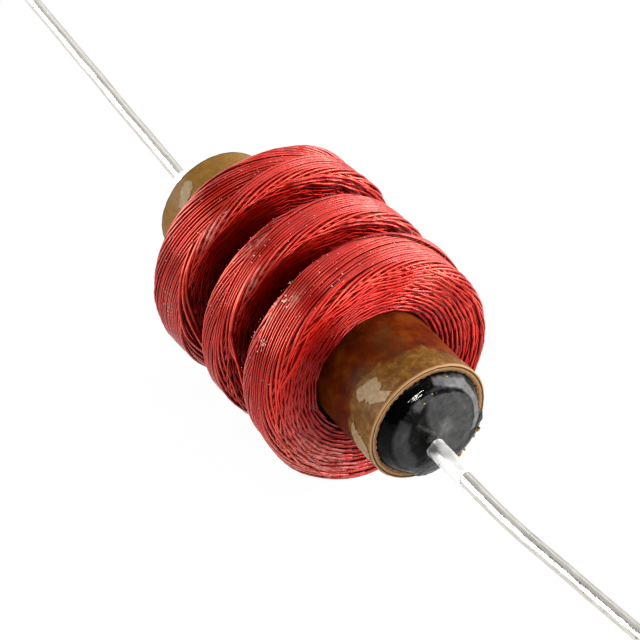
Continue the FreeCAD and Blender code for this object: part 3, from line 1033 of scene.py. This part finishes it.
def make_tail(name, end, node):
    """End of a coil's wire: along the tube on the hidden side, over the rim and in to the solder."""
    past = TUBE_HALF + 0.15
    if end > 0:
        places = [(5.45, 6.02, HIDDEN_SIDE + 24), (5.82, 5.7, HIDDEN_SIDE + 10)]
        places += [(5.86, 4.6, HIDDEN_SIDE + 1), (6.2, 3.40, HIDDEN_SIDE)]
    else:
        places = [(5.45, 3.38, HIDDEN_SIDE + 50), (5.75, 3.48, HIDDEN_SIDE + 20), (6.5, 3.35, HIDDEN_SIDE)]
    places += [(8.2, 3.33, HIDDEN_SIDE), (9.6, 3.33, HIDDEN_SIDE), (past, 3.2, HIDDEN_SIDE)]
    points = polar(*through(places, 10).T)
    foot = feet[name]
    lead = np.array([past, foot[1], foot[2]])
    inward = points[-1] - lead
    last = lead + inward * (JOINT_RADIUS + 0.08) / np.linalg.norm(inward)
    steps = np.linspace(0, 1, 16)[1:, None]
    points = np.vstack([points, points[-1] + (last - points[-1]) * steps])
    points[:, 0] *= end
    across, up = foot[1], foot[2] - AXIS_HEIGHT
    tone = math.degrees(math.atan2(up, across)) % 360 + math.hypot(across, up)
    make_strand("tail_" + name, points, (0.1, 0.3, 1.0), tone, node)


make_tail("front", 1, "finish_wire")
make_tail("rear", -1, "start_wire")

# Strands that have come loose between the coils.
LOOSE = {
    "rear_gap_a": (
        (-3.20, 6.02, 140), (-2.86, 6.06, 158), (-2.62, 5.92, 170), (-2.25, 5.74, 179),
        (-1.70, 5.62, 187), (-1.20, 5.45, 196), (-0.95, 5.20, 206),
    ),
    "rear_gap_b": (
        (-3.30, 6.02, 134), (-2.90, 6.06, 152), (-2.66, 5.86, 165), (-2.35, 5.60, 175),
        (-1.95, 5.45, 185), (-1.50, 5.30, 196), (-1.05, 5.05, 208),
    ),
    "front_gap_a": (
        (0.85, 6.00, 134), (1.12, 6.02, 148), (1.34, 5.90, 160), (1.80, 5.74, 169), (2.30, 5.66, 177),
        (2.78, 5.70, 186), (3.05, 5.85, 194), (3.30, 5.95, 206), (3.50, 5.94, 218),
    ),
}
for name, places in LOOSE.items():
    make_wire("loose_strand_" + name, places)


def make_wavy(name, face, first, last, radii, seed):
    """Bumpy strands along the shoulder of a coil, sunk into it at both ends."""
    angle = np.arange(first, last, 3.0)
    ease = smooth_step(first, first + 18, angle) * smooth_step(last, last - 18, angle)
    for number, radius in enumerate(radii):
        bumps = waves(seed + number, 12, 0.25, 0.7)
        along = face - 0.30 + (0.34 + 0.05 * bumps(angle)) * ease
        height = radius - 0.25 + (0.25 + 0.04 * bumps(angle + 200)) * ease
        make_wire(f"wavy_strand_{name}_{number + 1}", np.stack([along, height, angle], -1))


make_wavy("rear", -2.60, 30, 96, (5.90, 5.70, 5.50), 301)
make_wavy("middle", 1.44, 30, 96, (5.90, 5.70), 311)
make_wavy("front", 5.44, -22, 12, (5.86,), 321)


# Crumbs and flakes

def make_crumbs(name, spots, material, seed):
    """Flattened lumps from spots: each a point, its outward direction and its size."""
    rng = np.random.default_rng(seed)
    ball = bmesh.new()
    bmesh.ops.create_icosphere(ball, subdivisions=1, radius=1)
    shape = np.array([corner.co[:] for corner in ball.verts])
    sides = [[corner.index for corner in face.verts] for face in ball.faces]
    ball.free()
    parts = []
    for point, outward, size in spots:
        outward = unit(outward)
        lumps = shape * rng.uniform(0.6, 1.3, (len(shape), 1)) * rng.uniform(0.7, 1.3, 3) * size
        lumps -= 0.45 * (lumps @ outward)[:, None] * outward
        parts.append((np.asarray(point) + lumps, sides))
    points, faces = join(parts)
    crumb = new_piece(name, points, faces, [material])


def rim_spot(along, radius, angle, size):
    """Spot for a crumb at a place about the tube."""
    point = polar(along, radius, angle)
    return point, point - polar(along, 0, angle), size


# Clusters of varnish specks: place along, angle, spread along, spread in degrees, count, size.
SPECK_CLUSTERS = {
    "front": (
        (3.65, 129, 0.22, 2, 12, 0.045), (4.02, 151, 0.20, 3, 14, 0.040), (3.25, 134, 0.10, 2, 5, 0.045),
        (4.20, 110, 1.20, 60, 80, 0.020), (3.15, 150, 0.15, 25, 14, 0.022), (4.9, 105, 0.3, 8, 5, 0.032),
    ),
    "middle": (
        (0.10, 146, 0.50, 12, 12, 0.024), (0.15, 110, 1.00, 60, 50, 0.019), (0.55, 128, 0.20, 4, 5, 0.028),
    ),
    "rear": (
        (-4.15, 110, 1.20, 60, 60, 0.019), (-3.70, 178, 0.40, 8, 12, 0.024), (-2.95, 128, 0.12, 6, 8, 0.028),
    ),
}
for name, clusters in SPECK_CLUSTERS.items():
    rng = np.random.default_rng(len(name) + 400)
    place, face = COIL_PLACES[name], COILS[name][0]
    spots = []
    for along, angle, reach, turn, count, size in clusters:
        steps = along + reach * rng.normal(0, 0.6, count) - place
        bends = rng.normal(0, 0.6, count)
        shares = rng.uniform(0.6, 1.3, count)
        for step, bend, share in zip(np.clip(steps, 0.32 - face, face - 0.32), bends, shares):
            radius = COIL_RADIUS - 0.08 - corner_drop(step, face - STRAND_INSET, CORNER_ROUND)
            spots.append(rim_spot(place + step, radius, angle + turn * bend, size * share))
    make_crumbs("varnish_specks_" + name, spots, VARNISH, 410)


# Flecks of flux on the front plug and round its edge: place along, radius, angle, size.
GOLD_FLECKS = (
    (10.08, 2.98, 331, 0.13), (10.16, 2.92, 334, 0.08), (10.02, 3.00, 324, 0.08), (9.98, 3.10, 304, 0.13),
    (10.02, 3.08, 300, 0.10), (9.98, 3.08, 309, 0.07), (9.96, 3.02, 283, 0.06), (10.48, 2.44, 98, 0.055),
    (10.52, 2.20, 111, 0.055), (10.40, 2.52, 20, 0.03), (10.00, 2.72, 74, 0.05), (9.90, 2.74, 300, 0.05),
)
make_crumbs("gold_flecks_front", [rim_spot(*fleck) for fleck in GOLD_FLECKS], FLUX, 421)


# Fine scratches on the front plug's shoulder: place along, radius, first and last angle.
SCRATCHES = (
    (10.13, 2.55, 124, 103), (10.21, 2.50, 121, 112), (10.25, 2.47, 117, 107), (10.17, 2.53, 118, 110),
)
strokes = []
for along, radius, first, last in SCRATCHES:
    angle = np.linspace(first, last, 12)
    strokes.append(sweep(polar(along, radius, angle), 0.014, (1, 0, 0), 5))
scratches = new_piece("scratches_front", *join(strokes), [TIN])


def make_flake(name, corners, seed):
    """Thin ragged flake of dried lacquer on the tube, from its corners (along, angle)."""
    degree = math.radians(TUBE_RADIUS)
    corners = np.asarray(corners, float) * (1, degree)
    rng = np.random.default_rng(seed)
    line = resample(np.vstack([corners, corners[:1]]), 0.10)[:-1]
    line += rng.normal(0, 0.030, line.shape)
    middle = line.mean(0)
    count = len(line)
    rings = []
    for share, height in ((1.0, -0.05), (1.0, 0.020), (0.90, 0.034), (0.55, 0.026), (0.20, 0.028)):
        places = middle + (line - middle) * share
        lift = height + 0.005 * rng.normal(0, 1, count)
        rings.append(polar(places[:, 0], TUBE_RADIUS + lift, places[:, 1] / degree))
    faces = caps(len(rings), count)[1:] + quads(len(rings), count)
    flake = new_piece("lacquer_flake_" + name, np.concatenate(rings), faces, [FLAKE], sharp=40)


make_flake("top", (
    (7.79, 146), (8.10, 134), (8.31, 126), (8.50, 129), (8.77, 128), (8.95, 133), (9.49, 126), (9.60, 136),
    (9.25, 142), (9.00, 147), (8.60, 148), (8.24, 152.5), (7.95, 151),
), 431)
make_flake("side", (
    (8.30, 172), (8.60, 178), (8.98, 180), (9.50, 185), (9.60, 196), (9.10, 205), (8.40, 200), (8.15, 186),
), 432)
make_flake("rear", (
    (-9.35, 127), (-9.00, 123), (-8.60, 126), (-8.35, 134), (-8.25, 143), (-8.60, 149), (-8.90, 141),
    (-9.20, 135),
), 433)


# Camera, floor and light

def make_camera():
    """Camera of the photograph's view, turned about the part and looking down on it."""
    about, down = math.radians(58.31), math.radians(39.18)
    camera = add_object("camera", bpy.data.cameras.new("camera"))
    camera.location = (0.090248, -0.055545, 0.091874)
    camera.rotation_euler = (math.pi / 2 - down, 0, about)
    camera.data.sensor_width = 36
    camera.data.lens = 158.8
    camera.data.clip_start = 0.005
    camera.data.clip_end = 10
    bpy.context.scene.camera = camera


def make_floor():
    """Pale floor that keeps a faint shadow and looks white to the camera."""
    mesh = bpy.data.meshes.new("floor")
    reach = 1.5
    corners = [(-reach, -reach, 0), (reach, -reach, 0), (reach, reach, 0), (-reach, reach, 0)]
    mesh.from_pydata(corners, [], [(0, 1, 2, 3)])
    floor = add_object("floor", mesh)
    shade = Shade("floor_paint")
    plain = shade.node("ShaderNodeBsdfDiffuse", {"Color": (0.9, 0.9, 0.9, 1)})
    white = shade.node("ShaderNodeEmission", {"Color": (1, 1, 1, 1), "Strength": 1.0})
    rays = shade.node("ShaderNodeLightPath").outputs
    seen = shade.sums("ADD", rays["Is Camera Ray"], rays["Is Glossy Ray"])
    seen = shade.sums("ADD", seen, rays["Is Transmission Ray"], clamp=True)
    whiteness = shade.times(seen, 0.975)
    mixed = shade.node("ShaderNodeMixShader", {0: whiteness, 1: plain.outputs[0], 2: white.outputs[0]})
    shade.feed(shade.output.inputs[0], mixed.outputs[0])
    mesh.materials.append(shade.material)


def add_lamp(name, place, power, size):
    """Soft square lamp that looks at the middle of the part."""
    light = bpy.data.lights.new(name, "AREA")
    light.energy = power
    light.size = size
    lamp = add_object(name, light)
    lamp.location = place
    lamp.rotation_mode = "QUATERNION"
    lamp.rotation_quaternion = (Vector((0, 0, 0.006)) - Vector(place)).to_track_quat("-Z", "Y")


# Strength of the surroundings, and the brighter patches in them: direction, cosines at which each
# begins and is full, and its strength.
SKY_FLOOR = 0.05
SKY_PATCHES = (
    ((-0.66, -0.70, 0.29), 0.90, 0.97, 9.0),
    ((-0.62, 0.25, 0.74), 0.65, 0.90, 0.6),
    ((0.60, 0.41, 0.68), 0.93, 0.98, 9.0),
    ((-0.66, 0.75, 0.0), 0.50, 0.90, 0.6),
    ((0.35, 0.93, 0.08), 0.86, 0.96, 12.0),
)


def make_world():
    """Dim surroundings with bright patches, as of the white sheets round the part."""
    world = bpy.data.worlds.new("studio")
    world.use_nodes = True
    nodes, links = world.node_tree.nodes, world.node_tree.links
    back = nodes["Background"]
    way = nodes.new("ShaderNodeTexCoord").outputs["Generated"]
    total = None
    for towards, low, high, strength in SKY_PATCHES:
        along = nodes.new("ShaderNodeVectorMath")
        along.operation = "DOT_PRODUCT"
        links.new(way, along.inputs[0])
        along.inputs[1].default_value = towards
        spread = nodes.new("ShaderNodeMapRange")
        spread.interpolation_type = "SMOOTHSTEP"
        for key, value in (("From Min", low), ("From Max", high), ("To Max", strength)):
            spread.inputs[key].default_value = value
        links.new(along.outputs["Value"], spread.inputs["Value"])
        summed = nodes.new("ShaderNodeMath")
        links.new(spread.outputs[0], summed.inputs[0])
        if total is None:
            summed.inputs[1].default_value = SKY_FLOOR
        else:
            links.new(total, summed.inputs[1])
        total = summed.outputs[0]
    links.new(total, back.inputs["Strength"])
    back.inputs["Color"].default_value = (1, 1, 1, 1)
    bpy.context.scene.world = world


make_camera()
make_floor()
make_world()
add_lamp("key_lamp", (0.00, -0.10, 0.70), 1.2, 0.18)
add_lamp("side_lamp", (0.32, 0.52, 0.27), 2.7, 0.22)
add_lamp("front_lamp", (0.62, 0.08, 0.12), 3.2, 0.26)
bpy.context.scene.view_settings.view_transform = "Standard"
